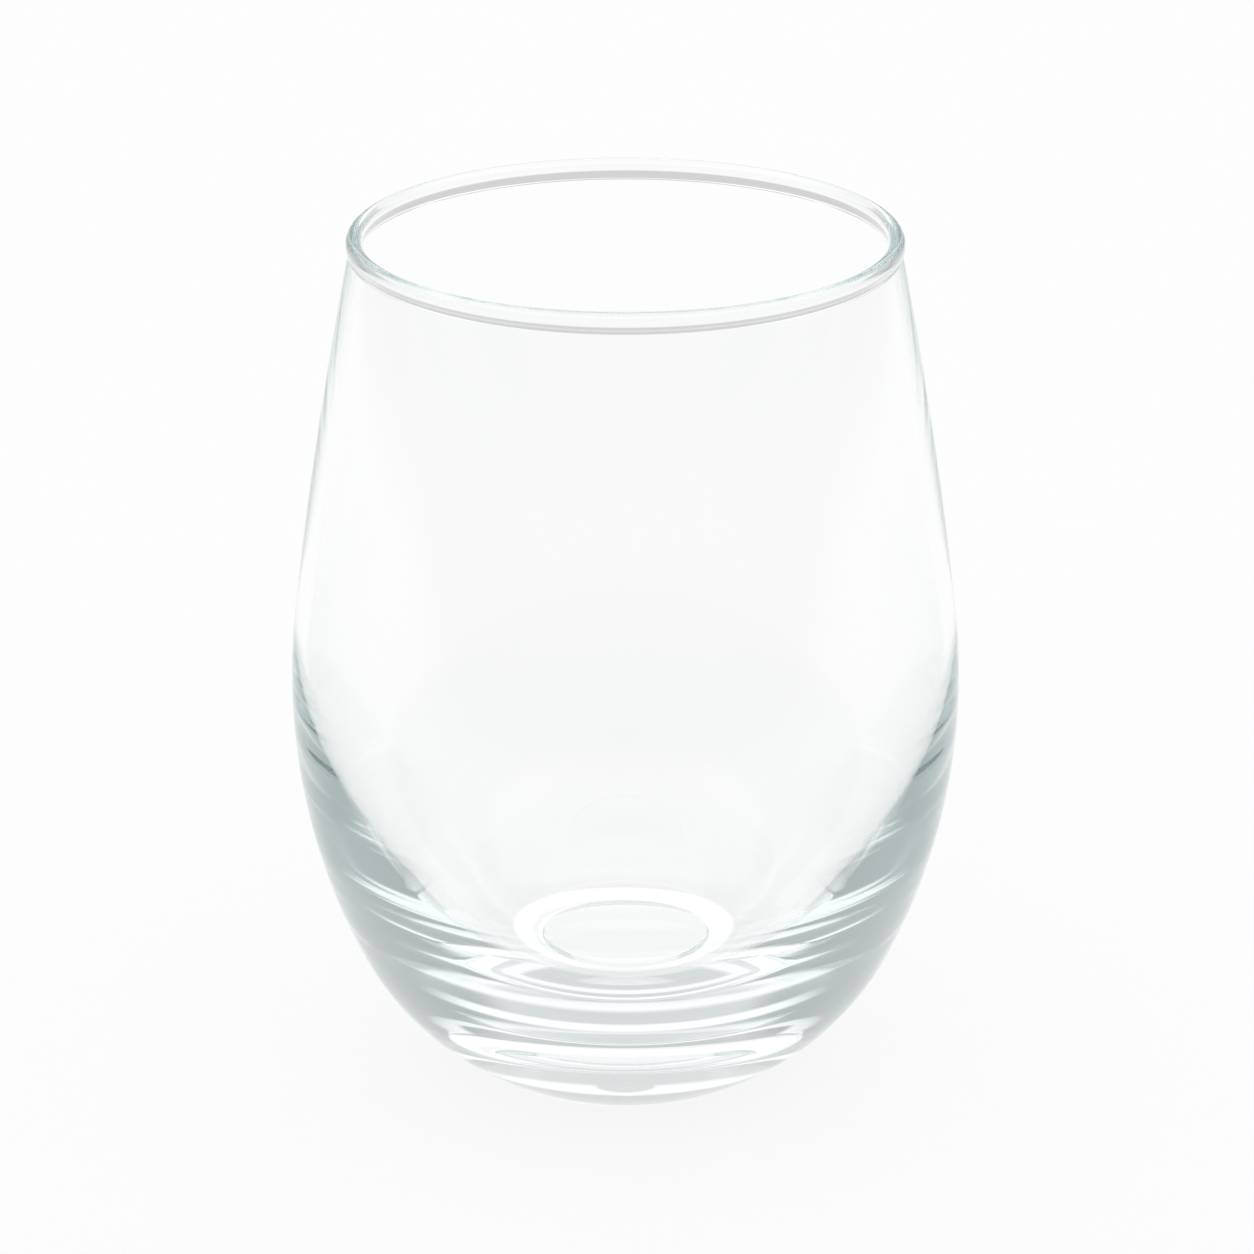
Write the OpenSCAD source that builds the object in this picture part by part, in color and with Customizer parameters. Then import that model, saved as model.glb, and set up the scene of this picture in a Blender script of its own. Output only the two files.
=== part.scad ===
// A stemless wine glass: one egg-shaped piece of clear glass, drawn by its three zones.
// The rim bead, the bowl wall and the heavy base meet face to face on two flat seams.
// Lengths are in millimetres, and z = 0 is the table that the foot stands on.

/* [Overall] */
// Height from the table to the top of the rim
height = 114.3; // [100:0.1:130]
// Outer diameter of the wall where it runs into the rim bead
mouth_d = 70; // [62:0.1:78]
// Largest outer diameter, at the belly
belly_d = 87.6; // [80:0.1:96]
// Height of the largest diameter above the table
belly_height = 52.8; // [46:0.1:60]
// Diameter of the ring that the foot stands on, at its outer edge
foot_d = 37.2; // [30:0.1:50]

/* [Outer curve] */
// Radius of the side view's curve at the belly
belly_arc = 83.7; // [70:0.1:100]
// Angle above the belly where the flatter flank takes over, in degrees
flank_turn = 7; // [4:0.1:9]
// Angle below the belly where the rounder lower bowl takes over, in degrees
bowl_turn = 24.6; // [15:0.1:32]
// Rounding radius where the lower bowl meets the table
foot_edge = 2; // [1:0.1:4]

/* [Inner curve] */
// Wall thickness where it runs into the rim bead
mouth_wall = 1.4; // [1:0.1:2.5]
// Wall thickness at the belly
belly_wall = 2; // [1.4:0.1:4]
// How far the cavity's widest place lies above the belly
cavity_rise = 3; // [0:0.1:8]
// Radius of the cavity's curve at its widest place
cavity_arc = 54; // [46:0.1:62]
// Angle below the widest place where the cavity's lower curve takes over, in degrees
cavity_turn = 26; // [20:0.1:30]

/* [Base] */
// Thickness of glass between the cavity floor and the table
floor_height = 11.4; // [9:0.1:14]
// Diameter of the flat middle of the cavity floor
floor_d = 24.7; // [20:0.1:30]
// Rounding radius between the cavity floor and the wall
floor_edge = 17.3; // [10:0.1:22]
// Height of the seam between the base and the bowl wall
seam_height = 17; // [16.5:0.1:24]

/* [Underside] */
// Width of the flat ring that the foot stands on
land_w = 4.2; // [1:0.1:6]
// Depth of the hollow under the foot
punt_depth = 2.2; // [0.5:0.1:4]
// Width of the sloping edge of that hollow
punt_slope_w = 1.8; // [0.5:0.1:5]

/* [Rim bead] */
// Height of the bead
bead_h = 3.2; // [2.4:0.1:4.5]
// Height of the bead above its widest place
bead_top_h = 1.2; // [0.8:0.1:1.6]
// Thickness of the bead, seen from above
bead_w = 2.1; // [1.6:0.1:3]
// How far the bead stands out past the wall that it closes
bead_proud = 0.5; // [0.2:0.05:0.8]
// Height of plain wall that belongs to the rim zone under the bead
bead_neck = 0.8; // [0.4:0.1:2]

/* [Hidden] */

// Facets round the glass when the model is drawn as a mesh
$fn = 180;

glass_colour = [0.86, 0.93, 0.92, 0.45];

// Overrun of every cut past the face that it opens
overrun = 1;

// How far the chord between two points of an arc may lie from the true arc
chord_gap = 0.005;

// The wall's two curves end inside the bead, at half its height
bead_middle = height - bead_h / 2;
bead_seam = height - bead_h - bead_neck;

outer_end = [mouth_d / 2, bead_middle];
outer_belly = [belly_d / 2, belly_height];
outer_foot = [foot_d / 2, 0];

cavity_end = [mouth_d / 2 - mouth_wall, bead_middle];
cavity_belly = [belly_d / 2 - belly_wall, belly_height + cavity_rise];
cavity_floor = [floor_d / 2, floor_height];

punt_r = foot_d / 2 - land_w;

bead_widest = [mouth_d / 2 + bead_proud - bead_w / 2, height - bead_top_h];

// Steps in which the bead's outline is drawn
bead_steps = 48;

// The direction at an angle above the horizontal, and the angle of a direction
function heading(angle) = [cos(angle), sin(angle)];
function angle_of(v) = atan2(v.y, v.x);

// Radius of an arc that starts at a point, square to a heading, and ends inside an edge rounding
function arc_radius(start, angle, end, edge) =
    let (gap = start - end)
    (gap * gap - edge * edge) / (2 * (gap * heading(angle) - edge));

// The points of an arc after its first one. A negative radius curves the arc the other way.
function arc_points(centre, radius, from, to) =
    let (
        widest_step = 2 * acos(1 - chord_gap / abs(radius)),
        steps = max(1, ceil(abs(to - from) / widest_step))
    )
    [for (i = [1:steps]) centre + radius * heading(from + (to - from) * i / steps)];

// The side of a bowl from its end point down to its foot: four arcs that run into each other,
// which are the flank, the belly, the lower bowl and the rounding at the foot. The foot's flat
// reaches at least to where the lower bowl's roundest arc would run level.
function bowl_side(end, belly, arc, flank_angle, bowl_angle, foot, edge) =
    let (
        belly_centre = belly - [arc, 0],
        flank_start = belly_centre + arc * heading(flank_angle),
        flank_arc = arc_radius(flank_start, flank_angle, end, 0),
        flank_centre = flank_start - flank_arc * heading(flank_angle),
        bowl_start = belly_centre + arc * heading(-bowl_angle),
        roundest_arc = (bowl_start.y - foot.y) / (1 - sin(bowl_angle)),
        flat_r = max(foot.x, bowl_start.x - roundest_arc * cos(bowl_angle)),
        edge_centre = [flat_r, foot.y + edge],
        bowl_arc = arc_radius(bowl_start, -bowl_angle, edge_centre, edge),
        bowl_centre = bowl_start - bowl_arc * heading(-bowl_angle),
        edge_angle = angle_of((edge_centre - bowl_centre) / (bowl_arc - edge))
    )
    concat(
        [end],
        arc_points(flank_centre, flank_arc, angle_of((end - flank_centre) / flank_arc), flank_angle),
        arc_points(belly_centre, arc, flank_angle, -bowl_angle),
        arc_points(bowl_centre, bowl_arc, -bowl_angle, edge_angle),
        arc_points(edge_centre, edge, edge_angle, -90)
    );

outer_side = bowl_side(
    outer_end, outer_belly, belly_arc, flank_turn, bowl_turn, outer_foot, foot_edge
);
cavity_side = bowl_side(
    cavity_end, cavity_belly, cavity_arc, flank_turn, cavity_turn, cavity_floor, floor_edge
);

// The bead's outline, drawn clockwise from its outer side: a long half ellipse below its widest
// place, and a short one above
bead_outline = [
    for (i = [0:bead_steps - 1])
        let (
            angle = -360 * i / bead_steps,
            half_h = i < bead_steps / 2 ? bead_h - bead_top_h : bead_top_h
        )
        bead_widest + [bead_w / 2 * cos(angle), half_h * sin(angle)]
];

module outer_shape() {
    polygon(concat(outer_side, [[0, 0], [0, bead_middle]]));
}

module cavity_shape() {
    top = bead_middle + overrun;
    polygon(concat(cavity_side, [[0, floor_height], [0, top], [cavity_end.x, top]]));
}

// The hollow under the foot: a sloping edge round a flat middle
module punt_shape() {
    polygon([
        [0, -overrun],
        [punt_r, -overrun],
        [punt_r, 0],
        [punt_r - punt_slope_w, punt_depth],
        [0, punt_depth]
    ]);
}

// The side view of the glass between two heights
module glass_shape(low, high) {
    difference() {
        intersection() {
            outer_shape();
            translate([0, low]) square([belly_d, high - low]);
        }
        cavity_shape();
    }
}

// The heavy bottom, with the cavity's floor on top and a shallow hollow underneath
module base() {
    color(glass_colour)
        rotate_extrude() difference() {
            glass_shape(0, seam_height);
            punt_shape();
        }
}

module bowl_wall() {
    color(glass_colour) rotate_extrude() glass_shape(seam_height, bead_seam);
}

// The fire-polished lip: the top of the wall swells into a bead that tapers back into the wall
module rim_bead() {
    color(glass_colour)
        rotate_extrude() {
            glass_shape(bead_seam, bead_middle);
            polygon(bead_outline);
        }
}

rim_bead();
bowl_wall();
base();
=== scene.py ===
"""A clear stemless wine glass standing on a white table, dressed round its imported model."""
import math

import bmesh
import bpy
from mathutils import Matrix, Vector


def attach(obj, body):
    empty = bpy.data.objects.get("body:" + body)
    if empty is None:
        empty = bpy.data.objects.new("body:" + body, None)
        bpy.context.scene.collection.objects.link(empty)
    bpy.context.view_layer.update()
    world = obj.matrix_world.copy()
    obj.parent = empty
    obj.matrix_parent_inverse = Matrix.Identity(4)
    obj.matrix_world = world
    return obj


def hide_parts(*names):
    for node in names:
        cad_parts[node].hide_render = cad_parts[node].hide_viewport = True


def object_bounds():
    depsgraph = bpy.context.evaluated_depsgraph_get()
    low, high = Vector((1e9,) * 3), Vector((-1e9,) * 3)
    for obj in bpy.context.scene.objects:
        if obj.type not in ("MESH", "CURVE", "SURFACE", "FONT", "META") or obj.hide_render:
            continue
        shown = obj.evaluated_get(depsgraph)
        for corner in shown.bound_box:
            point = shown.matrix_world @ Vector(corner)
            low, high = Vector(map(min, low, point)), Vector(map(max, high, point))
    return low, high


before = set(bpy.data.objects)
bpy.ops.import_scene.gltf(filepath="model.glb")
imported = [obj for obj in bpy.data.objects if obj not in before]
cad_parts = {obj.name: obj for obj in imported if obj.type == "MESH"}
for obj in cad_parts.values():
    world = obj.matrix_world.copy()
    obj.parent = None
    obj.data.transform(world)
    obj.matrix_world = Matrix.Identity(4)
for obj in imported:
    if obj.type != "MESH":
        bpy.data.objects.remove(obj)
cad_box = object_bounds()

MM = 0.001

# The glass's height and belly come from the frame, and the rest of its sizes are in millimetres
HEIGHT = (cad_box[1][2] - cad_box[0][2]) / MM
BELLY_D = (cad_box[1][0] - cad_box[0][0]) / MM
MOUTH_D = 70.0
BELLY_HEIGHT = 52.8
FOOT_D = 37.2
BELLY_ARC = 83.7
FLANK_TURN = 7.0
BOWL_TURN = 24.6
FOOT_EDGE = 2.0
MOUTH_WALL = 1.4
BELLY_WALL = 2.0
CAVITY_RISE = 3.0
CAVITY_ARC = 54.0
CAVITY_TURN = 26.0
FLOOR_HEIGHT = 11.4
FLOOR_D = 24.7
FLOOR_EDGE = 17.3
LAND_W = 4.2
PUNT_DEPTH = 2.2
PUNT_SLOPE_W = 1.8
BEAD_H = 3.2
BEAD_TOP_H = 1.2
BEAD_W = 2.1
BEAD_PROUD = 0.5

# How far a chord of the side view may lie from its true arc, the facets round the glass, and the
# steps in a quarter of the bead
CHORD_GAP = 0.0015
FACETS_ROUND = 360
BEAD_STEPS = 36

# Faces that meet at more than this angle, in degrees, keep a sharp edge between them
CREASE_ANGLE = 10.0

# Soda-lime glass with a trace of iron, which only thick sections show
GLASS_IOR = 1.52
GLASS_TINT = (0.94, 0.964, 0.964, 1.0)
GLASS_TINT_PER_METRE = 20.0
GLASS_SURFACE = (1.0, 1.0, 1.0, 1.0)
GLASS_ROUGHNESS = 0.0

# Waves left by the mould: how many in a metre along X, Y and Z, how deep in metres, and their mix
WAVES_PER_METRE = (55.0, 55.0, 25.0)
BANDS_PER_METRE = (12.0, 12.0, 150.0)
WAVE_SHARE = 0.6
WAVE_DEPTH = 0.0000005
WAVE_STRENGTH = 1.0
WAVE_DETAIL = 1.0

# The white table: the share of light that its paint returns, its own glow, and the painted shade that
# dims the glow in front and far off, both outside the camera's view. Each pair is where the painted
# shade begins and where it is full. The table closes on the foot by TABLE_CONTACT, so no film of air
# is left under the foot's ring. Lengths are in metres.
TABLE_PAINT = (0.15, 0.15, 0.15, 1.0)
TABLE_GLOW = 0.86
TABLE_FRONT = (0.05, 0.3)
TABLE_FAR = (0.62, 0.9)
TABLE_SHADE = 0.34
TABLE_W = 8.0
TABLE_CONTACT = 0.00002

# Painted light on the table, standing in for the light that the heel gathers: extra glow in a bright
# ring under the foot's own ring, and less of it under the hollow
CAUSTIC_PLACE = (-0.0005, 0.0, 0.0)
CAUSTIC_INNER = (0.0144, 0.0150)
CAUSTIC_OUTER = (0.0186, 0.0194)
CAUSTIC_GLOW = 0.11
HOLLOW_GLOW = 0.06

# The studio's light by direction. Each pair says where a change begins and ends. A direction's
# height is the sine of its angle above level, and its lean is how much of it points one way.

# Softboxes all round, between two heights
SOFTBOX_FOOT = (0.56, 0.68)
SOFTBOX_TOP = (0.84, 0.93)
SOFTBOX_WHITE = (1.15, 1.15, 1.15, 1.0)

# A strip of the same light low down behind the glass: its heights, and its ends by the lean back
STRIP_FOOT = (0.25, 0.29)
STRIP_TOP = (0.35, 0.40)
STRIP_ENDS = (0.3, 0.7)

# The walls, which grow lighter upwards, and the side walls by the square of the lean to a side
WALL_RISE = (0.2, 0.45)
LOW_WALL_GREY = (0.62, 0.62, 0.62, 1.0)
WALL_GREY = (0.74, 0.74, 0.74, 1.0)
SIDE_START = (0.25, 0.5)
SIDE_GREY = (0.46, 0.49, 0.49, 1.0)

# The dim room round the camera: its sides by the lean to the camera, and the height of its foot
ROOM_SIDES = (0.45, 0.85)
ROOM_FOOT = (0.08, 0.2)
ROOM_GREY = (0.36, 0.43, 0.43, 1.0)

# Light that is caught inside the glass needs many bounces to find its way out
LIGHT_BOUNCES = 1024

# The camera's place: its distance and height angle, and the lens in pixels of a 1254 pixel frame
CAMERA_DISTANCE = 0.600
CAMERA_ELEVATION = 21.35
FOCAL_PIXELS = 4577.0
PHOTO_PIXELS = 1254.0
SENSOR_WIDTH = 36.0
CAMERA_AIM = Vector((0.0002, 0.0, 0.06036))


class Value:
    """What a node puts out. Between numbers, each operator adds the Math node that it needs."""

    def __init__(self, graph, socket):
        self.graph = graph
        self.socket = socket

    def maths(self, operation, *operands):
        """Add a Math node on any number of operands."""
        return self.graph.add("ShaderNodeMath", {"operation": operation}, dict(enumerate(operands)))

    def __add__(self, other):
        return self.maths("ADD", self, other)

    def __radd__(self, other):
        return self.maths("ADD", other, self)

    def __sub__(self, other):
        return self.maths("SUBTRACT", self, other)

    def __rsub__(self, other):
        return self.maths("SUBTRACT", other, self)

    def __mul__(self, other):
        return self.maths("MULTIPLY", self, other)

    def __rmul__(self, other):
        return self.maths("MULTIPLY", other, self)

    def other(self, name):
        """Another output of the same node."""
        return Value(self.graph, self.socket.node.outputs[name])

    def rise(self, low, high):
        """0 below low and 1 above high, with a smooth rise between them."""
        settings = {"interpolation_type": "SMOOTHSTEP"}
        inputs = {"Value": self, "From Min": low, "From Max": high}
        return self.graph.add("ShaderNodeMapRange", settings, inputs)


class Graph:
    """The nodes of one material or world."""

    # Which sockets of a Mix node hold the share, the two colours and the mixed colour
    MIX_SHARE, MIX_FIRST, MIX_SECOND, MIX_RESULT = 0, 6, 7, 2

    def __init__(self, owner):
        owner.use_nodes = True
        self.tree = owner.node_tree
        self.tree.nodes.clear()

    def add(self, kind, settings=None, inputs=None, output=0):
        """Add a node, set it up, then fill its sockets with values or links."""
        node = self.tree.nodes.new(kind)
        for name, setting in (settings or {}).items():
            setattr(node, name, setting)
        for name, content in (inputs or {}).items():
            if isinstance(content, Value):
                self.tree.links.new(content.socket, node.inputs[name])
            else:
                node.inputs[name].default_value = content
        if not node.outputs:
            return None
        return Value(self, node.outputs[output])

    def blend(self, share, first, second):
        """The first colour where the share is 0, and the second where it is 1."""
        inputs = {self.MIX_SHARE: share, self.MIX_FIRST: first, self.MIX_SECOND: second}
        return self.add("ShaderNodeMix", {"data_type": "RGBA"}, inputs, self.MIX_RESULT)

    def distance(self, place, centre):
        """How far a place lies from a centre, in metres."""
        return self.add("ShaderNodeVectorMath", {"operation": "DISTANCE"}, {0: place, 1: centre}, "Value")

    def noise(self, place, per_metre, detail):
        """Cloudy noise from 0 to 1, with so many waves in a metre along X, Y and Z."""
        stretched = self.add("ShaderNodeVectorMath", {"operation": "MULTIPLY"}, {0: place, 1: per_metre})
        return self.add("ShaderNodeTexNoise", inputs={"Vector": stretched, "Scale": 1.0, "Detail": detail})


def heading(angle):
    """The direction at an angle above the horizontal, in degrees."""
    return Vector((math.cos(math.radians(angle)), math.sin(math.radians(angle))))


def angle_of(direction):
    """The angle of a direction above the horizontal, in degrees."""
    return math.degrees(math.atan2(direction.y, direction.x))


def arc_radius(start, angle, end, edge):
    """Radius of an arc that leaves start square to a heading and ends inside an edge rounding."""
    gap = start - end
    return (gap.dot(gap) - edge * edge) / (2 * (gap.dot(heading(angle)) - edge))


def arc_points(centre, radius, first, last):
    """The points of an arc after its first one. A negative radius curves the arc the other way."""
    widest_step = 2 * math.degrees(math.acos(1 - CHORD_GAP / abs(radius)))
    steps = math.ceil(abs(last - first) / widest_step)
    return [centre + radius * heading(first + (last - first) * i / steps) for i in range(1, steps + 1)]


def bowl_side(end, belly, arc, flank_angle, bowl_angle, foot, edge):
    """The side of a bowl from its end point down to its foot, as four arcs that run together."""
    end, belly, foot = Vector(end), Vector(belly), Vector(foot)
    belly_centre = belly - Vector((arc, 0))
    flank_start = belly_centre + arc * heading(flank_angle)
    flank_arc = arc_radius(flank_start, flank_angle, end, 0)
    flank_centre = flank_start - flank_arc * heading(flank_angle)
    edge_centre = foot + Vector((0, edge))
    bowl_start = belly_centre + arc * heading(-bowl_angle)
    bowl_arc = arc_radius(bowl_start, -bowl_angle, edge_centre, edge)
    bowl_centre = bowl_start - bowl_arc * heading(-bowl_angle)
    edge_angle = angle_of((edge_centre - bowl_centre) / (bowl_arc - edge))
    return (
        [end]
        + arc_points(flank_centre, flank_arc, angle_of((end - flank_centre) / flank_arc), flank_angle)
        + arc_points(belly_centre, arc, flank_angle, -bowl_angle)
        + arc_points(bowl_centre, bowl_arc, -bowl_angle, edge_angle)
        + arc_points(edge_centre, edge, edge_angle, -90)
    )


def side_x(side, height):
    """A side's distance from the axis at a height. The side runs down, and keeps upright above its end."""
    for high, low in zip(side, side[1:]):
        if low.y <= height <= high.y:
            return low.x + (high.x - low.x) * (height - low.y) / (high.y - low.y)
    return side[0].x


def crossing(side, curve):
    """The point where a curve crosses a side."""
    gaps = [p.x - side_x(side, p.y) for p in curve]
    for i in range(len(curve) - 1):
        if gaps[i] * gaps[i + 1] <= 0:
            return curve[i].lerp(curve[i + 1], gaps[i] / (gaps[i] - gaps[i + 1]))
    return curve[-1]


def glass_outline():
    """The whole section in order: the hollow underneath, the outside, the bead, then the cavity."""
    bead_middle = HEIGHT - BEAD_H / 2
    bead_widest = Vector((MOUTH_D / 2 + BEAD_PROUD - BEAD_W / 2, HEIGHT - BEAD_TOP_H))

    def bead_point(angle):
        """A point of the bead's outline, which is taller below its widest place than above it."""
        half_h = BEAD_TOP_H if angle > 0 else BEAD_H - BEAD_TOP_H
        return bead_widest + Vector((BEAD_W / 2 * heading(angle).x, half_h * heading(angle).y))

    outer = bowl_side(
        (MOUTH_D / 2, bead_middle), (BELLY_D / 2, BELLY_HEIGHT), BELLY_ARC,
        FLANK_TURN, BOWL_TURN, (FOOT_D / 2, 0), FOOT_EDGE,
    )
    cavity = bowl_side(
        (MOUTH_D / 2 - MOUTH_WALL, bead_middle),
        (BELLY_D / 2 - BELLY_WALL, BELLY_HEIGHT + CAVITY_RISE), CAVITY_ARC,
        FLANK_TURN, CAVITY_TURN, (FLOOR_D / 2, FLOOR_HEIGHT), FLOOR_EDGE,
    )
    bead_right = [bead_point(-90 + 90 * i / BEAD_STEPS) for i in range(BEAD_STEPS + 1)]
    bead_top = [bead_point(180 * i / (2 * BEAD_STEPS)) for i in range(1, 2 * BEAD_STEPS)]
    bead_left = [bead_point(-180 + 90 * i / BEAD_STEPS) for i in range(BEAD_STEPS + 1)]
    outer_joint = crossing(outer, bead_right)
    inner_joint = crossing(cavity, bead_left)
    outside = [p for p in reversed(outer) if p.y < outer_joint.y] + [outer_joint]
    inside = [inner_joint] + [p for p in cavity if p.y < inner_joint.y]
    bead = (
        [p for p in bead_right if p.y > outer_joint.y]
        + bead_top
        + [p for p in bead_left if p.y > inner_joint.y]
    )
    punt_r = FOOT_D / 2 - LAND_W
    punt = [Vector((0, PUNT_DEPTH)), Vector((punt_r - PUNT_SLOPE_W, PUNT_DEPTH)), Vector((punt_r, 0))]
    return punt + outside + bead + inside + [Vector((0, FLOOR_HEIGHT))]


def turned_mesh(name, outline):
    """A closed mesh turned about Z from a section that starts and ends on the axis."""
    work = bmesh.new()
    rings = []
    for p in outline[1:-1]:
        rings.append([
            work.verts.new((p.x * MM * math.cos(a), p.x * MM * math.sin(a), p.y * MM))
            for a in (2 * math.pi * i / FACETS_ROUND for i in range(FACETS_ROUND))
        ])
    first = work.verts.new((0, 0, outline[0].y * MM))
    last = work.verts.new((0, 0, outline[-1].y * MM))
    for i in range(FACETS_ROUND):
        j = (i + 1) % FACETS_ROUND
        work.faces.new((first, rings[0][j], rings[0][i]))
        for low, high in zip(rings, rings[1:]):
            work.faces.new((low[i], low[j], high[j], high[i]))
        work.faces.new((rings[-1][i], rings[-1][j], last))
    bmesh.ops.recalc_face_normals(work, faces=work.faces)
    mesh = bpy.data.meshes.new(name)
    work.to_mesh(mesh)
    work.free()
    mesh.shade_smooth()
    mesh.set_sharp_from_angle(angle=math.radians(CREASE_ANGLE))
    piece = bpy.data.objects.new(name, mesh)
    bpy.context.scene.collection.objects.link(piece)
    return piece


def glass_material():
    """Clear glass with the faint waves that a mould leaves, and an iron tint in its thick parts."""
    material = bpy.data.materials.new("clear_glass")
    graph = Graph(material)
    place = graph.add("ShaderNodeTexCoord", output="Object")
    waves = graph.noise(place, WAVES_PER_METRE, WAVE_DETAIL)
    bands = graph.noise(place, BANDS_PER_METRE, WAVE_DETAIL)
    surface = graph.add("ShaderNodeBump", inputs={
        "Strength": WAVE_STRENGTH,
        "Distance": WAVE_DEPTH,
        "Height": waves * WAVE_SHARE + bands * (1 - WAVE_SHARE),
    })
    shader = graph.add("ShaderNodeBsdfPrincipled", inputs={
        "Base Color": GLASS_SURFACE,
        "Roughness": GLASS_ROUGHNESS,
        "IOR": GLASS_IOR,
        "Transmission Weight": 1.0,
        "Normal": surface,
    })
    tint = graph.add("ShaderNodeVolumeAbsorption", inputs={
        "Color": GLASS_TINT,
        "Density": GLASS_TINT_PER_METRE,
    })
    graph.add("ShaderNodeOutputMaterial", inputs={"Surface": shader, "Volume": tint})
    return material


def table_material():
    """A matt white table top. Its own glow shows white, and its paint keeps a soft shadow. A painted
    caustic and painted shade are added to the glow.
    """
    material = bpy.data.materials.new("white_table")
    graph = Graph(material)
    place = graph.add("ShaderNodeTexCoord", output="Object")
    front = -1.0 * graph.add("ShaderNodeSeparateXYZ", inputs={"Vector": place}).other("Y")
    far = graph.distance(place, (0, 0, 0)).rise(*TABLE_FAR)
    # Painted light: extra glow in a ring under the foot and fainter glow under the hollow, in place of the
    # heel's caustic
    from_ring = graph.distance(place, CAUSTIC_PLACE)
    under_ring = from_ring.rise(*CAUSTIC_INNER)
    under_foot = 1.0 - from_ring.rise(*CAUSTIC_OUTER)
    painted_caustic = under_foot * (HOLLOW_GLOW + under_ring * CAUSTIC_GLOW)
    # Painted shade: the table's glow is dimmed in front of the glass and far off
    shade = (1.0 - (1.0 - front.rise(*TABLE_FRONT)) * (1.0 - far)) * TABLE_SHADE
    paint = graph.add("ShaderNodeBsdfDiffuse", inputs={"Color": TABLE_PAINT})
    glow = graph.add("ShaderNodeEmission", inputs={"Strength": TABLE_GLOW + painted_caustic - shade})
    surface = graph.add("ShaderNodeAddShader", inputs={0: paint, 1: glow})
    graph.add("ShaderNodeOutputMaterial", inputs={"Surface": surface})
    return material


def studio_world():
    """The studio: softboxes high up, a strip of light behind, grey walls and a dim room in front."""
    world = bpy.data.worlds.new("studio")
    bpy.context.scene.world = world
    graph = Graph(world)
    towards = graph.add("ShaderNodeSeparateXYZ", inputs={"Vector": graph.add("ShaderNodeTexCoord")})
    up = towards.other("Z")
    softbox = up.rise(*SOFTBOX_FOOT) * (1.0 - up.rise(*SOFTBOX_TOP))
    strip = up.rise(*STRIP_FOOT) * (1.0 - up.rise(*STRIP_TOP)) * towards.other("Y").rise(*STRIP_ENDS)
    sideways = towards.other("X") * towards.other("X")
    back_wall = graph.blend(up.rise(*WALL_RISE), LOW_WALL_GREY, WALL_GREY)
    wall = graph.blend(sideways.rise(*SIDE_START), back_wall, SIDE_GREY)
    room = (-1.0 * towards.other("Y")).rise(*ROOM_SIDES) * up.rise(*ROOM_FOOT)
    backdrop = graph.blend(softbox + strip, graph.blend(room, wall, ROOM_GREY), SOFTBOX_WHITE)
    light = graph.add("ShaderNodeBackground", inputs={"Color": backdrop})
    graph.add("ShaderNodeOutputWorld", inputs={"Surface": light})


def table_top():
    """The table that the glass stands on, which is staging."""
    mesh = bpy.data.meshes.new("table_top")
    half = TABLE_W / 2
    corners = [(x * half, y * half, TABLE_CONTACT) for x, y in ((-1, -1), (1, -1), (1, 1), (-1, 1))]
    mesh.from_pydata(corners, [], [(0, 1, 2, 3)])
    mesh.materials.append(table_material())
    top = bpy.data.objects.new("table_top", mesh)
    bpy.context.scene.collection.objects.link(top)


def camera():
    """The camera, placed and aimed as the photo's was."""
    data = bpy.data.cameras.new("camera")
    data.sensor_width = SENSOR_WIDTH
    data.lens = FOCAL_PIXELS / PHOTO_PIXELS * SENSOR_WIDTH
    eye = bpy.data.objects.new("camera", data)
    bpy.context.scene.collection.objects.link(eye)
    angle = math.radians(CAMERA_ELEVATION)
    back = Vector((0, -math.cos(angle), math.sin(angle)))
    eye.location = CAMERA_AIM + back * CAMERA_DISTANCE
    eye.rotation_mode = "QUATERNION"
    eye.rotation_quaternion = (-back).to_track_quat("-Z", "Y")
    bpy.context.scene.camera = eye


def long_light_paths():
    """Let light bounce inside the glass until it comes out."""
    cycles = bpy.context.scene.cycles
    cycles.max_bounces = LIGHT_BOUNCES
    cycles.glossy_bounces = LIGHT_BOUNCES
    cycles.transmission_bounces = LIGHT_BOUNCES


glass = turned_mesh("wine_glass", glass_outline())
glass.data.materials.append(glass_material())
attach(glass, "root")
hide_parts("rim_bead", "bowl_wall", "base")
table_top()
studio_world()
camera()
long_light_paths()
bpy.context.scene.view_settings.view_transform = "Standard"
